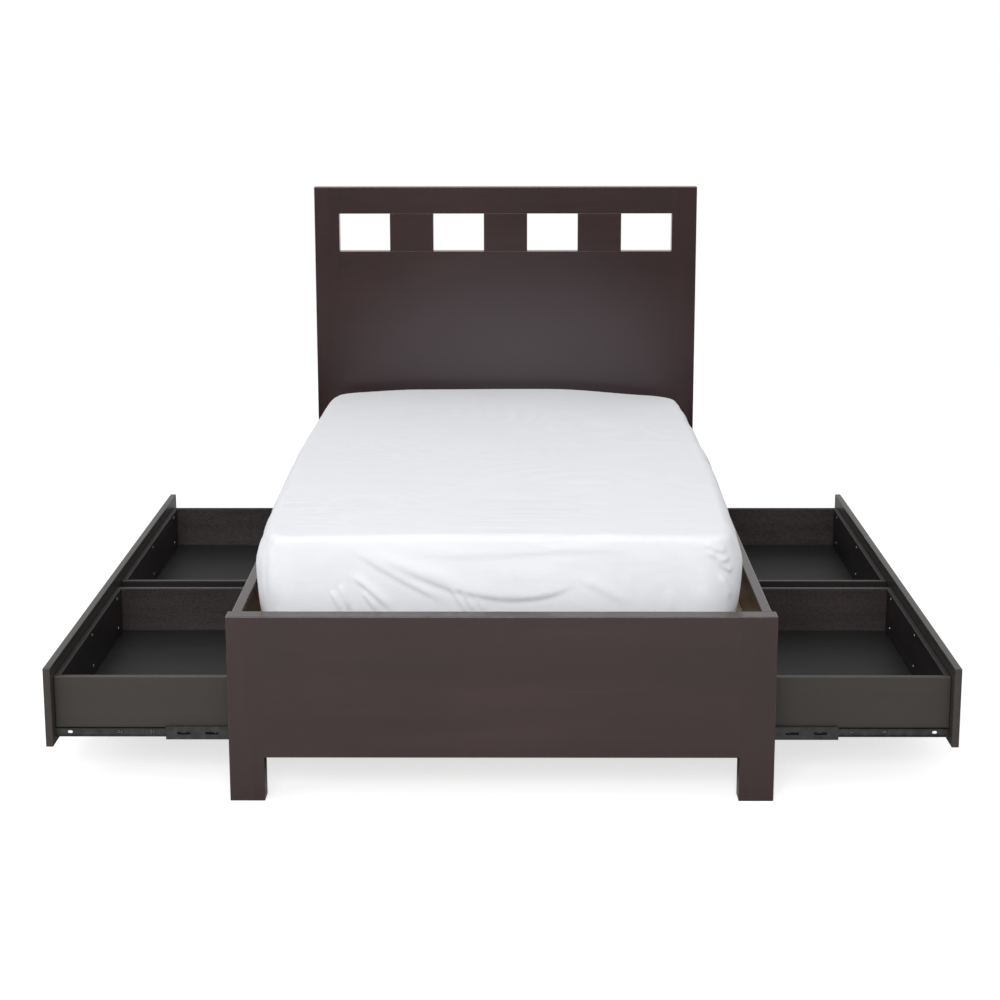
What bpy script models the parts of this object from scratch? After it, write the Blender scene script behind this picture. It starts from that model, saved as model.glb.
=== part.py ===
"""Twin platform bed with one full-length storage drawer on each side.

Metres, +Z up.  +Y runs from the footboard to the headboard and +X is the right-hand side seen from
the foot.  The origin is on the floor, under the middle of the bed.  The drawers stand open, which
is the rest position of every joint; the drawer parts are drawn closed under an empty on the slide
axis, and the empty is moved out.
"""
import math

import bmesh
import bpy
from mathutils import Matrix

GAP = 0.0003               # left between pieces that touch

# Overall size
WIDTH = 1.090
LENGTH = 2.100             # footboard front to headboard back
HEAD_HEIGHT = 1.073
FOOT_HEIGHT = 0.383

# Footboard and headboard
POST_WIDTH = 0.070
FOOT_THICK = 0.042
HEAD_THICK = 0.040
PANEL_BOTTOM = 0.091
WINDOW_COUNT = 4
WINDOW_WIDTH = 0.145
WINDOW_BOTTOM = 0.890
WINDOW_TOP = 0.998

# Side rails, deck and under-frame
RAIL_OUTER = 0.537         # half the width over the rails
RAIL_THICK = 0.020
RAIL_BOTTOM = 0.261
DECK_THICK = 0.018
DECK_TOP = 0.292
LEDGER = (0.020, 0.030)    # width and height of a side ledger
BEAM = (0.038, 0.060)      # width and height of the centre beam
LEG_WIDTH = 0.038
LEG_STATIONS = {"foot": 0.450, "head": 1.350}
PARTITION_BOTTOM = 0.093
PARTITION_OUTER = 0.5205
# distance from the footboard's front to the near face of each partition, and its thickness
PARTITIONS = {"foot": (0.061, 0.018), "middle": (0.811, 0.030), "head": (1.658, 0.018)}

# Drawers
OPEN_TRAVEL = 0.388
FRONT_THICK = 0.015
FRONT_STATIONS = (0.0615, 1.700)
FRONT_BOTTOM = 0.092
FRONT_TOP = 0.2576
FILLER_START = 1.7035
BOX_DEPTH = 0.440
BOX_WALL = 0.012
BOX_FLOOR = 0.0057
BOX_FLOOR_TOP = 0.130
BOX_BOTTOM = 0.1233
BOX_TOP = 0.232

# Ball-bearing slides: each member is a channel drawn across (out from its partition) by height
SLIDE_WIDTH = 0.0127
SLIDE_CENTRE = 0.1145
SLIDE_SHEET = 0.0012
SLIDE_INNER_END = 0.115
CABINET_OUTER_END = 0.515
MIDDLE_OUTER_END = 0.490
DRAWER_OUTER_END = 0.5215
CABINET_HEIGHT = 0.035
MIDDLE_HEIGHT = 0.027
DRAWER_HEIGHT = 0.017
CABINET_SPAN = (0.0, 0.0095)
MIDDLE_SPAN = (0.0032, 0.0100)
DRAWER_SPAN = (0.0065, SLIDE_WIDTH)
FLANGE_REACH = 0.010       # top flange of the drawer member, under the box wall
SLOT_SIZE = (0.028, 0.006)
SLOT_FIRST = 0.0365
SLOT_PITCH = 0.0575
SLOT_COUNT = 5
HOLE_SIZE = (0.010, 0.006)
HOLE_LAST = 0.325
HOLE_PITCH = 0.0655
HOLE_COUNT = 4
HOLE_FRONT = 0.029
ROUND_STEPS = 4

# Mattress
MATTRESS_WIDTH = 0.990
MATTRESS_LENGTH = 1.905
MATTRESS_START = 0.077
MATTRESS_TOP = 0.521
MATTRESS_ROUND = 0.040

SIDES = {"left": -1, "right": 1}
CHAMFER = 0.0012

# Finish: colour, roughness, metallic
FINISHES = {
    "espresso_wood": ((0.045, 0.030, 0.030, 1.0), 0.42, 0.0),
    "drawer_lining": ((0.022, 0.020, 0.021, 1.0), 0.50, 0.0),
    "raw_pine": ((0.550, 0.400, 0.240, 1.0), 0.60, 0.0),
    "slide_steel": ((0.080, 0.080, 0.080, 1.0), 0.35, 0.9),
    "white_cotton": ((0.850, 0.860, 0.880, 1.0), 0.85, 0.0),
}


def station(distance):
    """World Y of a point at a distance behind the footboard's front face."""
    return distance - LENGTH / 2


def clear_scene():
    for item in list(bpy.data.objects):
        bpy.data.objects.remove(item, do_unlink=True)


def finish_material(node, finish):
    colour, roughness, metallic = FINISHES[finish]
    material = bpy.data.materials.new(f"{node}_{finish}")
    material.use_nodes = True
    shader = material.node_tree.nodes["Principled BSDF"]
    shader.inputs["Base Color"].default_value = colour
    shader.inputs["Roughness"].default_value = roughness
    shader.inputs["Metallic"].default_value = metallic
    material.diffuse_color = colour
    return material


def add_object(name, shape, location, finish):
    """Turn a bmesh drawn about its own origin into a named object at a place."""
    bmesh.ops.recalc_face_normals(shape, faces=shape.faces)
    mesh = bpy.data.meshes.new(name)
    shape.to_mesh(mesh)
    shape.free()
    item = bpy.data.objects.new(name, mesh)
    item.location = location
    bpy.context.scene.collection.objects.link(item)
    item.data.materials.append(finish_material(name, finish))
    return item


def board(name, low, high, finish, chamfer=CHAMFER):
    """A straight board between two corners, with its edges eased."""
    size = [b - a for a, b in zip(low, high)]
    centre = [(a + b) / 2 for a, b in zip(low, high)]
    shape = bmesh.new()
    bmesh.ops.create_cube(shape, size=1.0, matrix=Matrix.Diagonal((*size, 1.0)))
    if chamfer:
        bmesh.ops.bevel(shape, geom=shape.edges[:], offset=chamfer, segments=1, affect="EDGES")
    return add_object(name, shape, centre, finish)


def mirrored_board(name, side, inner, outer, ends, heights, finish):
    """A board on one side of the bed: inner and outer are distances from the middle."""
    low_x, high_x = sorted((side * inner, side * outer))
    low = (low_x, station(ends[0]), heights[0])
    high = (high_x, station(ends[1]), heights[1])
    return board(name, low, high, finish)


def extrusion(name, outline, direction, start, end, finish):
    """A closed outline carried along X or Y.

    Along X the outline's points are (y, z); along Y they are (x, z).
    """
    shape = bmesh.new()
    if direction == "X":
        loop = [shape.verts.new((start, a, b)) for a, b in outline]
        step = (end - start, 0.0, 0.0)
    else:
        loop = [shape.verts.new((a, start, b)) for a, b in outline]
        step = (0.0, end - start, 0.0)
    shape.faces.new(loop)
    grown = bmesh.ops.extrude_face_region(shape, geom=shape.faces[:])
    moved = [part for part in grown["geom"] if isinstance(part, bmesh.types.BMVert)]
    bmesh.ops.translate(shape, verts=moved, vec=step)
    return add_object(name, shape, (0.0, 0.0, 0.0), finish)


def travel_empty(name, height, shift):
    """An empty on a slide's axis; its children are drawn in the closed position."""
    empty = bpy.data.objects.new(name, None)
    empty.location = (shift, 0.0, height)
    bpy.context.scene.collection.objects.link(empty)
    return empty


def hang_on(item, empty):
    """Parent a finished object to an empty, keeping its drawn height."""
    item.parent = empty
    item.location.z -= empty.location.z


# ---------------------------------------------------------------- headboard and footboard

def build_posts():
    inner = WIDTH / 2 - POST_WIDTH
    head_ends = (LENGTH - HEAD_THICK, LENGTH)
    for label, side in SIDES.items():
        mirrored_board(f"footboard_post_{label}", side, inner, WIDTH / 2, (0.0, FOOT_THICK),
                       (0.0, FOOT_HEIGHT), "espresso_wood")
        mirrored_board(f"headboard_post_{label}", side, inner, WIDTH / 2, head_ends,
                       (0.0, HEAD_HEIGHT), "espresso_wood")


def build_footboard_panel():
    half = WIDTH / 2 - POST_WIDTH - GAP
    board("footboard_panel", (-half, station(0.0), PANEL_BOTTOM),
          (half, station(FOOT_THICK), FOOT_HEIGHT), "espresso_wood")


def build_headboard_field():
    """Lower panel, top rail and the dividers that leave the row of square windows."""
    front = station(LENGTH - HEAD_THICK)
    back = station(LENGTH)
    half = WIDTH / 2 - POST_WIDTH
    board("headboard_panel", (-half + GAP, front, PANEL_BOTTOM),
          (half - GAP, back, WINDOW_BOTTOM), "espresso_wood")
    board("headboard_top_rail", (-half + GAP, front, WINDOW_TOP),
          (half - GAP, back, HEAD_HEIGHT), "espresso_wood")
    divider = (2 * half - WINDOW_COUNT * WINDOW_WIDTH) / (WINDOW_COUNT - 1)
    for index in range(WINDOW_COUNT - 1):
        start = -half + WINDOW_WIDTH + index * (WINDOW_WIDTH + divider)
        board(f"headboard_divider_{index + 1}", (start, front, WINDOW_BOTTOM + GAP),
              (start + divider, back, WINDOW_TOP - GAP), "espresso_wood")


# ---------------------------------------------------------------- rails, deck and under-frame

def build_rails():
    """Side rails, the ledgers inside them and the fixed fillers behind the drawers."""
    ends = (FOOT_THICK + GAP, LENGTH - HEAD_THICK - GAP)
    inner = RAIL_OUTER - RAIL_THICK
    deck_bottom = DECK_TOP - DECK_THICK
    for label, side in SIDES.items():
        mirrored_board(f"side_rail_{label}", side, inner, RAIL_OUTER, ends,
                       (RAIL_BOTTOM, FOOT_HEIGHT), "espresso_wood")
        mirrored_board(f"ledger_{label}", side, inner - LEDGER[0], inner - GAP, ends,
                       (deck_bottom - LEDGER[1], deck_bottom - GAP), "raw_pine")
        mirrored_board(f"side_filler_{label}", side, RAIL_OUTER - FRONT_THICK, RAIL_OUTER,
                       (FILLER_START, ends[1]), (FRONT_BOTTOM, RAIL_BOTTOM - GAP), "espresso_wood")


def build_deck():
    half = RAIL_OUTER - RAIL_THICK - GAP
    joint = LENGTH / 2
    spans = {"foot": (FOOT_THICK + GAP, joint - GAP / 2),
             "head": (joint + GAP / 2, LENGTH - HEAD_THICK - GAP)}
    for label, (start, end) in spans.items():
        board(f"deck_{label}", (-half, station(start), DECK_TOP - DECK_THICK),
              (half, station(end), DECK_TOP), "raw_pine")


def partition_outline():
    """Outline of a partition: notched for the two ledgers and for the centre beam."""
    deck_bottom = DECK_TOP - DECK_THICK - GAP
    ledger_x = RAIL_OUTER - RAIL_THICK - LEDGER[0] - GAP
    ledger_z = DECK_TOP - DECK_THICK - LEDGER[1] - GAP
    beam_x = BEAM[0] / 2 + GAP
    beam_z = deck_bottom - BEAM[1] - GAP
    right = [(PARTITION_OUTER, PARTITION_BOTTOM), (PARTITION_OUTER, ledger_z), (ledger_x, ledger_z),
             (ledger_x, deck_bottom), (beam_x, deck_bottom), (beam_x, beam_z)]
    left = [(-x, z) for x, z in reversed(right)]
    return right + left


def build_partitions():
    for label, (start, thick) in PARTITIONS.items():
        extrusion(f"partition_{label}", partition_outline(), "Y",
                  station(start), station(start + thick), "drawer_lining")


def build_centre_beam():
    """The beam under the deck, the head ledger that it meets, and its two legs."""
    top = DECK_TOP - DECK_THICK - GAP
    half = BEAM[0] / 2
    head_face = LENGTH - HEAD_THICK - GAP
    start = PARTITIONS["foot"][0]
    ledger_half = RAIL_OUTER - RAIL_THICK - LEDGER[0] - GAP
    board("ledger_head", (-ledger_half, station(head_face - LEDGER[0]), top - BEAM[1]),
          (ledger_half, station(head_face), top), "raw_pine")
    board("centre_beam", (-half, station(start), top - BEAM[1]),
          (half, station(head_face - LEDGER[0] - GAP), top), "raw_pine")
    for label, middle in LEG_STATIONS.items():
        board(f"centre_leg_{label}", (-LEG_WIDTH / 2, station(middle - LEG_WIDTH / 2), 0.0),
              (LEG_WIDTH / 2, station(middle + LEG_WIDTH / 2), top - BEAM[1] - GAP), "raw_pine")


# ---------------------------------------------------------------- drawers

def box_spans():
    """Near and far outer faces of the two boxes, one slide's width clear of the partitions."""
    clearance = SLIDE_WIDTH + GAP
    edges = {label: (start - clearance, start + thick + clearance)
             for label, (start, thick) in PARTITIONS.items()}
    return {"foot": (edges["foot"][1], edges["middle"][0]),
            "head": (edges["middle"][1], edges["head"][0])}


def build_box(label, side, name, span, empty):
    """One open box: two side walls, a sub-front, a back and a floor between them."""
    outer = RAIL_OUTER - FRONT_THICK - GAP
    inner = outer - BOX_DEPTH
    near, far = span
    prefix = f"drawer_{label}_{name}"
    heights = (BOX_BOTTOM, BOX_TOP)
    between = (near + BOX_WALL + GAP, far - BOX_WALL - GAP)
    pieces = [
        mirrored_board(f"{prefix}_near_wall", side, inner, outer, (near, near + BOX_WALL),
                       heights, "drawer_lining"),
        mirrored_board(f"{prefix}_far_wall", side, inner, outer, (far - BOX_WALL, far),
                       heights, "drawer_lining"),
        mirrored_board(f"{prefix}_sub_front", side, outer - BOX_WALL, outer, between,
                       heights, "drawer_lining"),
        mirrored_board(f"{prefix}_back", side, inner, inner + BOX_WALL, between,
                       heights, "drawer_lining"),
        mirrored_board(f"{prefix}_floor", side, inner + BOX_WALL + GAP, outer - BOX_WALL - GAP,
                       between, (BOX_FLOOR_TOP - BOX_FLOOR, BOX_FLOOR_TOP), "drawer_lining"),
    ]
    for piece in pieces:
        hang_on(piece, empty)


def build_drawer(label, side, empty):
    """The long front and its two boxes."""
    front = mirrored_board(f"drawer_{label}_front", side, RAIL_OUTER - FRONT_THICK, RAIL_OUTER,
                           FRONT_STATIONS, (FRONT_BOTTOM, FRONT_TOP), "espresso_wood")
    hang_on(front, empty)
    for name, span in box_spans().items():
        build_box(label, side, name, span, empty)


# ---------------------------------------------------------------- slides

def channel_outline(span, height, opens_out, face, direction, flange=0.0):
    """Cross-section of a channel as (y, z) points.

    span is how far it reaches out from its partition's face, opens_out says which way its
    mouth points, and flange adds a lip outwards at the top.
    """
    near, far = span if opens_out else (span[1], span[0])
    turn = 1.0 if opens_out else -1.0
    half = height / 2
    skin = SLIDE_SHEET
    points = [(near, -half), (far, -half), (far, skin - half), (near + turn * skin, skin - half),
              (near + turn * skin, half - skin), (far, half - skin), (far, half)]
    if flange:
        points += [(near + flange, half), (near + flange, half - skin), (near, half - skin)]
    else:
        points += [(near, half)]
    return [(station(face) + direction * across, SLIDE_CENTRE + up) for across, up in points]


def slot_cutter(name, centre_x, size, face, direction):
    """A round-ended prism through a channel's web, along Y."""
    length, width = size
    radius = width / 2
    straight = length / 2 - radius
    outline = []
    for end in (1, -1):
        for step in range(ROUND_STEPS + 1):
            angle = math.pi * (step / ROUND_STEPS - 0.5)
            x = end * (straight + radius * math.cos(angle))
            outline.append((centre_x + x, SLIDE_CENTRE + end * radius * math.sin(angle)))
    reach = sorted((station(face) - direction * GAP, station(face) + direction * 2 * SLIDE_WIDTH))
    cutter = extrusion(name, outline, "Y", reach[0], reach[1], "slide_steel")
    cutter.hide_render = True
    cutter.display_type = "WIRE"
    return cutter


def cut_holes(member, side, distances, outer_end, size, face, direction):
    """Cut holes at distances from the member's outer end, by exact Booleans applied at once."""
    for index, distance in enumerate(distances):
        cutter = slot_cutter(f"{member.name}_cutter_{index}", side * (outer_end - distance),
                             size, face, direction)
        modifier = member.modifiers.new("slot", "BOOLEAN")
        modifier.operation = "DIFFERENCE"
        modifier.solver = "EXACT"
        modifier.object = cutter
        bpy.context.view_layer.update()
        evaluated = member.evaluated_get(bpy.context.evaluated_depsgraph_get())
        mesh = bpy.data.meshes.new_from_object(evaluated)
        member.modifiers.clear()
        member.data = mesh
        bpy.data.objects.remove(cutter, do_unlink=True)


def build_slide(label, side, name, face, direction, middle_empty, drawer_empty):
    """One three-section slide: cabinet, middle and drawer members, nested when closed."""
    prefix = f"slide_{label}_{name}"

    def member(part, outline, outer_end):
        return extrusion(f"{prefix}_{part}", outline, "X", side * SLIDE_INNER_END,
                         side * outer_end, "slide_steel")

    member("cabinet_member",
           channel_outline(CABINET_SPAN, CABINET_HEIGHT, True, face, direction),
           CABINET_OUTER_END)
    middle = member("middle_member",
                    channel_outline(MIDDLE_SPAN, MIDDLE_HEIGHT, True, face, direction),
                    MIDDLE_OUTER_END)
    drawer = member("drawer_member",
                    channel_outline(DRAWER_SPAN, DRAWER_HEIGHT, False, face, direction,
                                    flange=FLANGE_REACH),
                    DRAWER_OUTER_END)
    slots = [SLOT_FIRST + index * SLOT_PITCH for index in range(SLOT_COUNT)]
    holes = [HOLE_FRONT] + [HOLE_LAST - index * HOLE_PITCH for index in range(HOLE_COUNT)]
    cut_holes(middle, side, slots, MIDDLE_OUTER_END, SLOT_SIZE, face, direction)
    cut_holes(drawer, side, holes, DRAWER_OUTER_END, HOLE_SIZE, face, direction)
    hang_on(middle, middle_empty)
    hang_on(drawer, drawer_empty)


def build_side(label, side):
    """One drawer with the pair of slides at its two ends, opened by OPEN_TRAVEL."""
    drawer_empty = travel_empty(f"drawer_{label}_travel", SLIDE_CENTRE, side * OPEN_TRAVEL)
    middle_empty = travel_empty(f"slides_{label}_travel", SLIDE_CENTRE, side * OPEN_TRAVEL / 2)
    build_drawer(label, side, drawer_empty)
    foot_start, foot_thick = PARTITIONS["foot"]
    head_start = PARTITIONS["head"][0]
    build_slide(label, side, "foot", foot_start + foot_thick + GAP, 1, middle_empty, drawer_empty)
    build_slide(label, side, "head", head_start - GAP, -1, middle_empty, drawer_empty)


# ---------------------------------------------------------------- mattress

def build_mattress():
    low = (-MATTRESS_WIDTH / 2, station(MATTRESS_START), DECK_TOP + GAP)
    high = (MATTRESS_WIDTH / 2, station(MATTRESS_START + MATTRESS_LENGTH), MATTRESS_TOP)
    mattress = board("mattress", low, high, "white_cotton", chamfer=0.0)
    bevel = mattress.modifiers.new("rounded_edges", "BEVEL")
    bevel.width = MATTRESS_ROUND
    bevel.segments = 3
    bevel.limit_method = "NONE"
    hang_on(mattress, travel_empty("mattress_lift", DECK_TOP, 0.0))


def build_bed():
    clear_scene()
    build_posts()
    build_footboard_panel()
    build_headboard_field()
    build_rails()
    build_deck()
    build_partitions()
    build_centre_beam()
    for label, side in SIDES.items():
        build_side(label, side)
    build_mattress()


build_bed()
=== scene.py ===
"""Looks for a twin platform bed with a long storage drawer on each side.

Every board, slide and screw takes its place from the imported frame, in metres: +Y runs from the
footboard to the headboard, +X is the right-hand side seen from the foot, and the floor is z = 0.
"""

import bmesh
import bpy
import numpy as np
from mathutils import Matrix, Vector


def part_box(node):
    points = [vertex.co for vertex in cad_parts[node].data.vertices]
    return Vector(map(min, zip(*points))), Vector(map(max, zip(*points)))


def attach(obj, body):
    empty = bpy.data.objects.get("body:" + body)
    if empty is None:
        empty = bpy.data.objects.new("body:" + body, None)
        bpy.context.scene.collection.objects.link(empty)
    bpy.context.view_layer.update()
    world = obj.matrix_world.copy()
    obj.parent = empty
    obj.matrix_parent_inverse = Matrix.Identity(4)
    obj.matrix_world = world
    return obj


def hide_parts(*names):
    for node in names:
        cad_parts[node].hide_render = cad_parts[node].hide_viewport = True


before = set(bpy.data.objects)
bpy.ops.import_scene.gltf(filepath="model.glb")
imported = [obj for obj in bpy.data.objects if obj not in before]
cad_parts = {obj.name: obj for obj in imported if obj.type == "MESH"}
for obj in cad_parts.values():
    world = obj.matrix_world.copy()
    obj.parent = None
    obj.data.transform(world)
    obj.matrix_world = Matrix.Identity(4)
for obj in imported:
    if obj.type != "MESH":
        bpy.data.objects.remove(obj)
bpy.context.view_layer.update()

SIDES = {"left": -1, "right": 1}
AXES = "XYZ"


# ------------------------------------------------------------------ shader maths

class Value:
    """One output socket of a material; arithmetic on it adds Math nodes."""

    def __init__(self, tree, socket):
        self.tree = tree
        self.socket = socket

    def maths(self, operation, *others):
        inputs = dict(enumerate((self, *others)))
        return self.tree.node("ShaderNodeMath", {"operation": operation}, inputs)

    def __add__(self, other):
        return self.maths("ADD", other)

    def __sub__(self, other):
        return self.maths("SUBTRACT", other)

    def __mul__(self, other):
        return self.maths("MULTIPLY", other)

    def __truediv__(self, other):
        return self.maths("DIVIDE", other)

    def __rsub__(self, other):
        return (self * -1.0) + other

    def __pow__(self, other):
        return self.maths("POWER", other)

    __radd__ = __add__
    __rmul__ = __mul__

    def clamped(self, low=0.0, high=1.0):
        """The value carried linearly from low..high to 0..1 and held there."""
        inputs = {"Value": self, "From Min": low, "From Max": high}
        return self.tree.node("ShaderNodeMapRange", {"clamp": True}, inputs)


class NodeMaker:
    """Adds nodes to the node tree of a material or a world."""

    def __init__(self, owner):
        owner.use_nodes = True
        self.nodes = owner.node_tree.nodes
        self.links = owner.node_tree.links

    def node(self, kind, settings=None, inputs=None, output=0):
        """Add any node: its settings first, then its sockets' values or links."""
        made = self.nodes.new(kind)
        for key, value in (settings or {}).items():
            if key == "stops":
                self.set_stops(made.color_ramp, value)
            else:
                setattr(made, key, value)
        for key, value in (inputs or {}).items():
            if isinstance(value, Value):
                self.links.new(value.socket, made.inputs[key])
            else:
                made.inputs[key].default_value = value
        return Value(self, made.outputs[output])

    @staticmethod
    def set_stops(ramp, stops):
        """Give a colour ramp its (position, colour) stops."""
        while len(ramp.elements) < len(stops):
            ramp.elements.new(1.0)
        for element, (place, colour) in zip(ramp.elements, stops):
            element.position = place
            element.color = (*colour, 1.0)


class Finish(NodeMaker):
    """A material under construction around one Principled shader."""

    def __init__(self, name, **constants):
        self.material = bpy.data.materials.new(name)
        super().__init__(self.material)
        self.shader = self.nodes["Principled BSDF"]
        for socket, value in constants.items():
            self.shader.inputs[socket.replace("_", " ")].default_value = value

    def place(self, scale=(1.0, 1.0, 1.0), turn=(0.0, 0.0, 0.0)):
        """Object coordinates, turned and stretched."""
        point = self.node("ShaderNodeTexCoord", output="Object")
        inputs = {"Vector": point, "Scale": scale, "Rotation": turn}
        return self.node("ShaderNodeMapping", inputs=inputs)

    def noise(self, where, scale, detail=4.0, roughness=0.5, distortion=0.0):
        inputs = {"Vector": where, "Scale": scale, "Detail": detail,
                  "Roughness": roughness, "Distortion": distortion}
        return self.node("ShaderNodeTexNoise", inputs=inputs)

    def ramp(self, value, *stops):
        return self.node("ShaderNodeValToRGB", {"stops": stops}, {"Fac": value})

    def blend(self, factor, first, second, mode="MIX"):
        """Mix two colours."""
        inputs = {0: factor, 6: first, 7: second}
        settings = {"data_type": "RGBA", "blend_type": mode}
        return self.node("ShaderNodeMix", settings, inputs, output=2)

    def attribute(self, name):
        """A point attribute of the piece, as a value."""
        return self.node("ShaderNodeAttribute", {"attribute_name": name}, output="Fac")

    def drive(self, **sockets):
        """Link values that change over the surface to the shader."""
        for socket, value in sockets.items():
            self.links.new(value.socket, self.shader.inputs[socket.replace("_", " ")])

    def relief(self, height, depth):
        """Bump the surface by a height field, depth metres high."""
        inputs = {"Height": height, "Distance": depth, "Strength": 1.0}
        self.drive(Normal=self.node("ShaderNodeBump", inputs=inputs))


def along(axis, length, across):
    """Pattern scales for a grain: low along one axis, high across it."""
    scale = [across, across, across]
    scale[AXES.index(axis)] = length
    return tuple(scale)


# ------------------------------------------------------------------ finishes

def stained_wood(name, axis, dark, light, streaks=1.0, roughness=0.22, gloss=0.44, worn=0.25,
                 painted_reflection=None, speckle=0.0):
    """Stained, lacquered veneer: streaks and pores along the grain, cloudy stain, rubbed edges.

    A painted reflection (colour, centre x and z, half width, half height) is a greyer, lighter
    patch blended into the stain colour where the sheet is reflected; it fades outwards as (1 -
    r^2)^1.5, r being the distance from its centre in half sizes.
    """
    made = Finish(name, Specular_IOR_Level=gloss)
    figure = made.noise(made.place(along(axis, 0.6, 9.0)), 2.2, 5.0, 0.55, 0.35)
    pores = made.noise(made.place(along(axis, 9.0, 420.0)), 1.0, 3.0, 0.6)
    cloud = made.noise(made.place(), 3.1, 3.0, 0.5)
    speck = made.noise(made.place(along(axis, 0.55, 1.0)), 330.0, 2.0, 0.6)
    tone = figure * 0.55 + cloud * 0.45 + (pores - 0.5) * (0.35 * streaks)
    tone = (tone + (speck - 0.5) * speckle).clamped(0.28, 0.72)
    colour = made.ramp(tone, (0.0, dark), (1.0, light))
    # Painted reflection of the sheet: a greyer, lighter patch blended into the colour, fading
    # outwards.
    if painted_reflection:
        grey, (middle_x, middle_z), (half_x, half_z) = painted_reflection
        point = made.node("ShaderNodeSeparateXYZ", inputs={"Vector": made.place()})
        across = (Value(made, point.socket.node.outputs["X"]) - middle_x) / half_x
        up = (Value(made, point.socket.node.outputs["Z"]) - middle_z) / half_z
        near = (1.0 - across * across - up * up).clamped() ** 1.5
        colour = made.blend(near, colour, (*grey, 1.0))
    rubbed = made.attribute("edge") * worn * made.noise(made.place(), 38.0, 3.0).clamped(0.35, 0.7)
    edge_tone = tuple(min(1.0, channel * 2.6 + 0.02) for channel in light)
    colour = made.blend(rubbed, colour, (*edge_tone, 1.0))
    made.drive(Base_Color=colour,
               Roughness=pores * 0.10 + cloud * 0.08 + (roughness - 0.09))
    made.relief(pores * 0.7 + figure * 0.3, 0.00016 * streaks)
    return made.material


def bare_wood(name, axis):
    """Unfinished softwood: pale early wood with darker, wavy growth lines along the board."""
    made = Finish(name)
    warp = made.noise(made.place(along(axis, 0.8, 5.0)), 1.6, 3.0)
    rings = (warp * 46.0 + made.noise(made.place(along(axis, 1.0, 30.0)), 1.0) * 3.0)
    lines = rings.maths("SINE") * 0.5 + 0.5
    fibre = made.noise(made.place(along(axis, 12.0, 500.0)), 1.0, 2.0)
    colour = made.ramp((lines * 0.6 + fibre * 0.4).clamped(0.1, 0.9),
                       (0.0, (0.50, 0.33, 0.18)), (0.55, (0.62, 0.45, 0.27)),
                       (1.0, (0.70, 0.54, 0.35)))
    made.drive(Base_Color=colour, Roughness=fibre * 0.2 + 0.5)
    made.relief(fibre + lines * 0.4, 0.0002)
    return made.material


def slide_steel():
    """Dark zinc-plated strip: rolled lines along X, cloudy plating and a thin film of grease."""
    made = Finish("slide_steel", Metallic=0.9)
    rolled = made.noise(made.place(along("X", 6.0, 900.0)), 1.0, 2.0)
    cloud = made.noise(made.place(), 55.0, 4.0, 0.6)
    colour = made.ramp(cloud * 0.7 + rolled * 0.3, (0.25, (0.040, 0.041, 0.040)),
                       (0.75, (0.095, 0.098, 0.095)))
    made.drive(Base_Color=colour, Roughness=cloud * 0.30 + rolled * 0.10 + 0.15)
    made.relief(rolled, 0.00004)
    return made.material


def bright_steel(name, colour, roughness):
    """Plated screws and balls: small scratches over a bright metal."""
    made = Finish(name, Metallic=1.0)
    scratch = made.noise(made.place((600.0, 90.0, 600.0)), 1.0, 3.0)
    low = tuple(channel * 0.7 for channel in colour)
    made.drive(Base_Color=made.ramp(scratch, (0.3, low), (0.7, colour)),
               Roughness=scratch * 0.25 + (roughness - 0.12))
    made.relief(scratch, 0.00003)
    return made.material


def black_nylon():
    """Moulded nylon of the stops: fine pitted skin."""
    made = Finish("black_nylon")
    pit = made.noise(made.place(), 900.0, 2.0)
    made.drive(Base_Color=made.ramp(pit, (0.3, (0.012, 0.012, 0.013)), (0.8, (0.03, 0.03, 0.032))),
               Roughness=pit * 0.2 + 0.38)
    made.relief(pit, 0.00005)
    return made.material


def cotton(name, tint, weave_pitch=0.0012, crease=0.0011):
    """Plain-woven cotton: crossed threads, slubs and small soft creases, their hollows darkened as
    painted shade.
    """
    made = Finish(name, Sheen_Weight=0.25, Sheen_Roughness=0.5, Specular_IOR_Level=0.25)
    turns = 2.0 * np.pi / weave_pitch
    point = made.node("ShaderNodeSeparateXYZ",
                      inputs={"Vector": made.place((turns, turns, turns))})
    threads = [Value(made, point.socket.node.outputs[index]).maths("SINE") for index in range(3)]
    weave = threads[0] * threads[1] + threads[1] * threads[2] + threads[0] * threads[2]
    slub = made.noise(made.place((14.0, 260.0, 260.0)), 1.0, 3.0)
    fold = made.noise(made.place((9.0, 30.0, 14.0)), 1.0, 5.0, 0.62, 0.6)
    # Colour tone: real slubs, plus painted shade darkening the hollows of the fold relief.
    slub_tone_and_crease_shade = (slub * 0.35 + fold * 0.65).clamped(0.3, 0.7)
    low = tuple(channel * 0.955 for channel in tint)
    made.drive(Base_Color=made.ramp(slub_tone_and_crease_shade, (0.0, low), (1.0, tint)),
               Roughness=slub * 0.12 + 0.78)
    level = made.noise(made.place((2.4, 34.0, 10.0)), 1.0, 4.0, 0.55, 0.8)
    ridge = 1.0 - (level * 2.0 - 1.0).maths("ABSOLUTE")
    patch = made.noise(made.place((3.0, 2.2, 3.0)), 1.0, 2.0).clamped(0.42, 0.62)
    on_top = Value(made, made.node("ShaderNodeSeparateXYZ", inputs={"Vector": made.place()})
                   .socket.node.outputs["Z"]).clamped(0.49, 0.515)
    wrinkle = (ridge ** 3.0) * patch * (on_top * 0.85 + 0.15)
    height = weave * 0.05 + slub * 0.06 + fold * 0.8 + wrinkle * 1.6
    made.relief(height, crease)
    return made.material


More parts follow.
